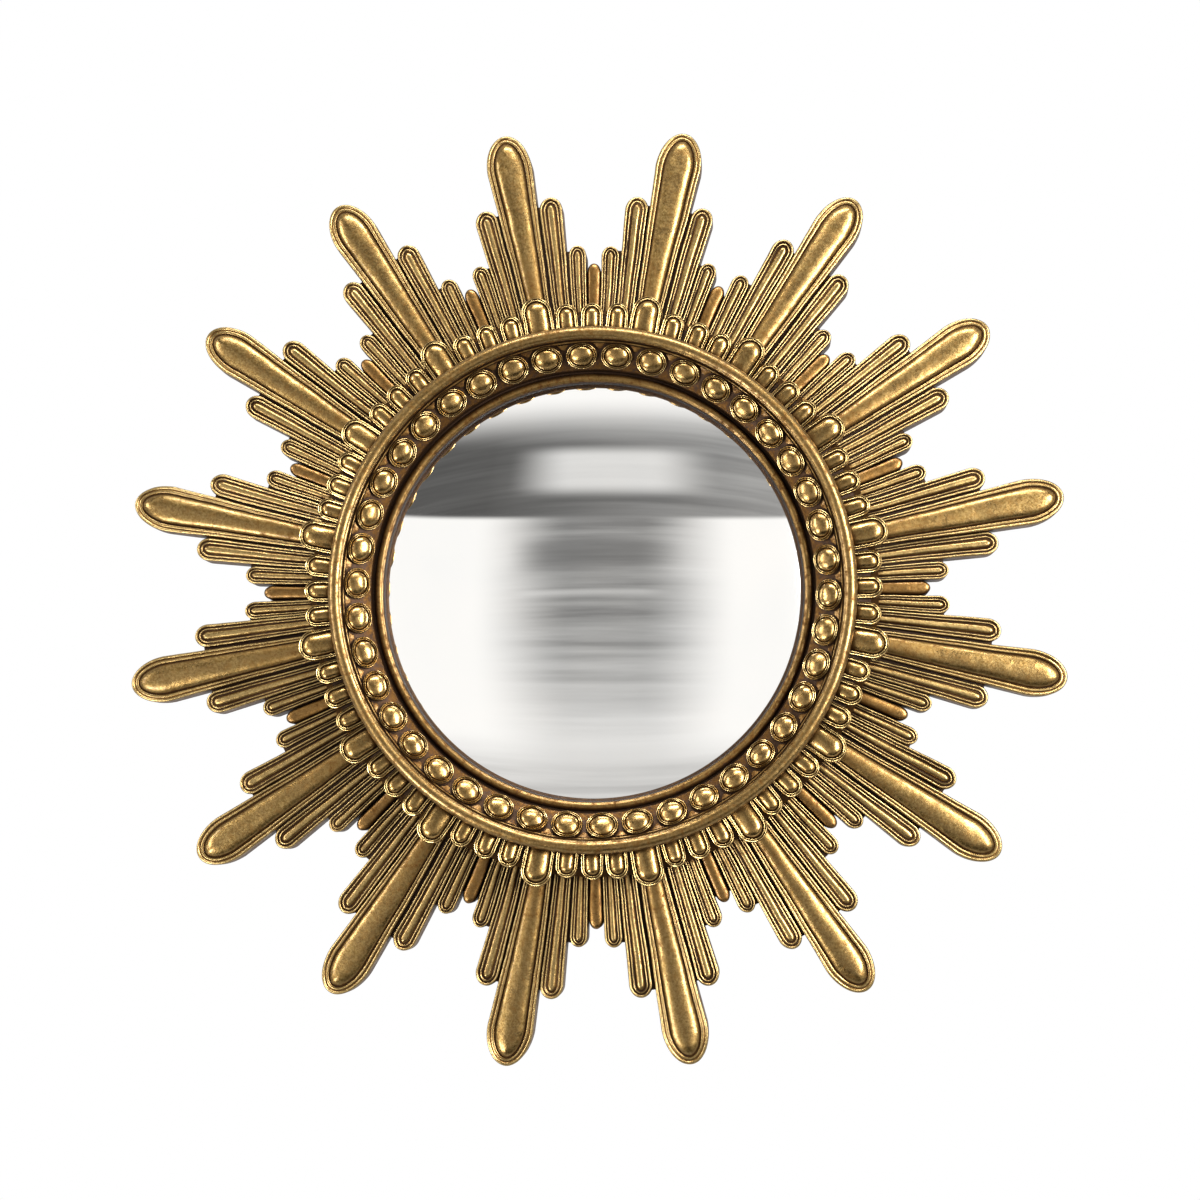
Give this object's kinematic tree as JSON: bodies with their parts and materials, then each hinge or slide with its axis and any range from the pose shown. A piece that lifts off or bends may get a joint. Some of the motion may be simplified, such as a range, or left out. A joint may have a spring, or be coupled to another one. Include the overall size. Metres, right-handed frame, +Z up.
{
  "type": "convex mirror",
  "caption": "Round convex wall mirror in a gilt sunburst frame: carved fans of rays, a collar of lobes and a beaded ring, with a boarded back and a hanging ring.",
  "frame": {"origin": "on the mirror's axis, in the plane of the wall that the rear pads rest on", "axes": "+Z up, +Y into the wall, so the glass looks along -Y, and +X to the right of someone facing the mirror"},
  "size_m": [0.5902, 0.0682, 0.5902],
  "materials": {
    "gilt_leaf": "satin",
    "burnished_gilt": "gloss",
    "bronzed_gilt": "satin",
    "silvered_glass": "polished",
    "felt": "matte",
    "bare_wood": "matte",
    "hardboard": "matte",
    "plywood": "satin",
    "screw_steel": "satin",
    "fitting_brass": "satin",
    "hanger_steel": "gloss",
    "pad_rubber": "matte"
  },
  "bodies": {
    "frame": {"ray_fan_01": "gilt_leaf", "ray_fan_02": "gilt_leaf", "ray_fan_03": "gilt_leaf", "ray_fan_04": "gilt_leaf", "ray_fan_05": "gilt_leaf", "ray_fan_06": "gilt_leaf", "ray_fan_07": "gilt_leaf", "ray_fan_08": "gilt_leaf", "ray_fan_09": "gilt_leaf", "ray_fan_10": "gilt_leaf", "ray_fan_11": "gilt_leaf", "ray_fan_12": "gilt_leaf", "ray_fan_13": "gilt_leaf", "ray_fan_14": "gilt_leaf", "ray_fan_15": "gilt_leaf", "ray_fan_16": "gilt_leaf", "dart_rays": "bronzed_gilt", "lobe_collar": "burnished_gilt", "ring_moulding": "gilt_leaf", "cabochon_beads": "burnished_gilt", "mirror_glass": "silvered_glass", "glass_gasket": "felt", "spacer_ring": "bare_wood", "back_board": "hardboard", "backing_ring": "plywood", "fan_screws": "screw_steel", "ring_screws": "screw_steel", "turn_button_screws": "fitting_brass", "strap_hanger": "hanger_steel", "hanger_screws": "screw_steel", "wall_pads": "pad_rubber"},
    "turn_button_1": {"turn_button_1": "fitting_brass"},
    "turn_button_2": {"turn_button_2": "fitting_brass"},
    "turn_button_3": {"turn_button_3": "fitting_brass"},
    "turn_button_4": {"turn_button_4": "fitting_brass"},
    "turn_button_5": {"turn_button_5": "fitting_brass"},
    "turn_button_6": {"turn_button_6": "fitting_brass"},
    "hanger_ring": {"hanger_ring": "hanger_steel"}
  },
  "joints": [
    {"name": "turn_button_1_turn", "type": "hinge", "parent": "frame", "child": "turn_button_1", "pos_m": [0.07825, -0.006, 0.13553], "axis": [0, 1, 0], "continuous": true},
    {"name": "turn_button_2_turn", "type": "hinge", "parent": "frame", "child": "turn_button_2", "pos_m": [0.1565, -0.006, 0], "axis": [0, 1, 0], "continuous": true},
    {"name": "turn_button_3_turn", "type": "hinge", "parent": "frame", "child": "turn_button_3", "pos_m": [0.07825, -0.006, -0.13553], "axis": [0, 1, 0], "continuous": true},
    {"name": "turn_button_4_turn", "type": "hinge", "parent": "frame", "child": "turn_button_4", "pos_m": [-0.07825, -0.006, -0.13553], "axis": [0, 1, 0], "continuous": true},
    {"name": "turn_button_5_turn", "type": "hinge", "parent": "frame", "child": "turn_button_5", "pos_m": [-0.1565, -0.006, 0], "axis": [0, 1, 0], "continuous": true},
    {"name": "turn_button_6_turn", "type": "hinge", "parent": "frame", "child": "turn_button_6", "pos_m": [-0.07825, -0.006, 0.13553], "axis": [0, 1, 0], "continuous": true},
    {"name": "hanger_ring_swing", "type": "hinge", "parent": "frame", "child": "hanger_ring", "pos_m": [0, -0.00349, 0.1958], "axis": [1, 0, 0], "range_deg": [0, 180]}
  ]
}
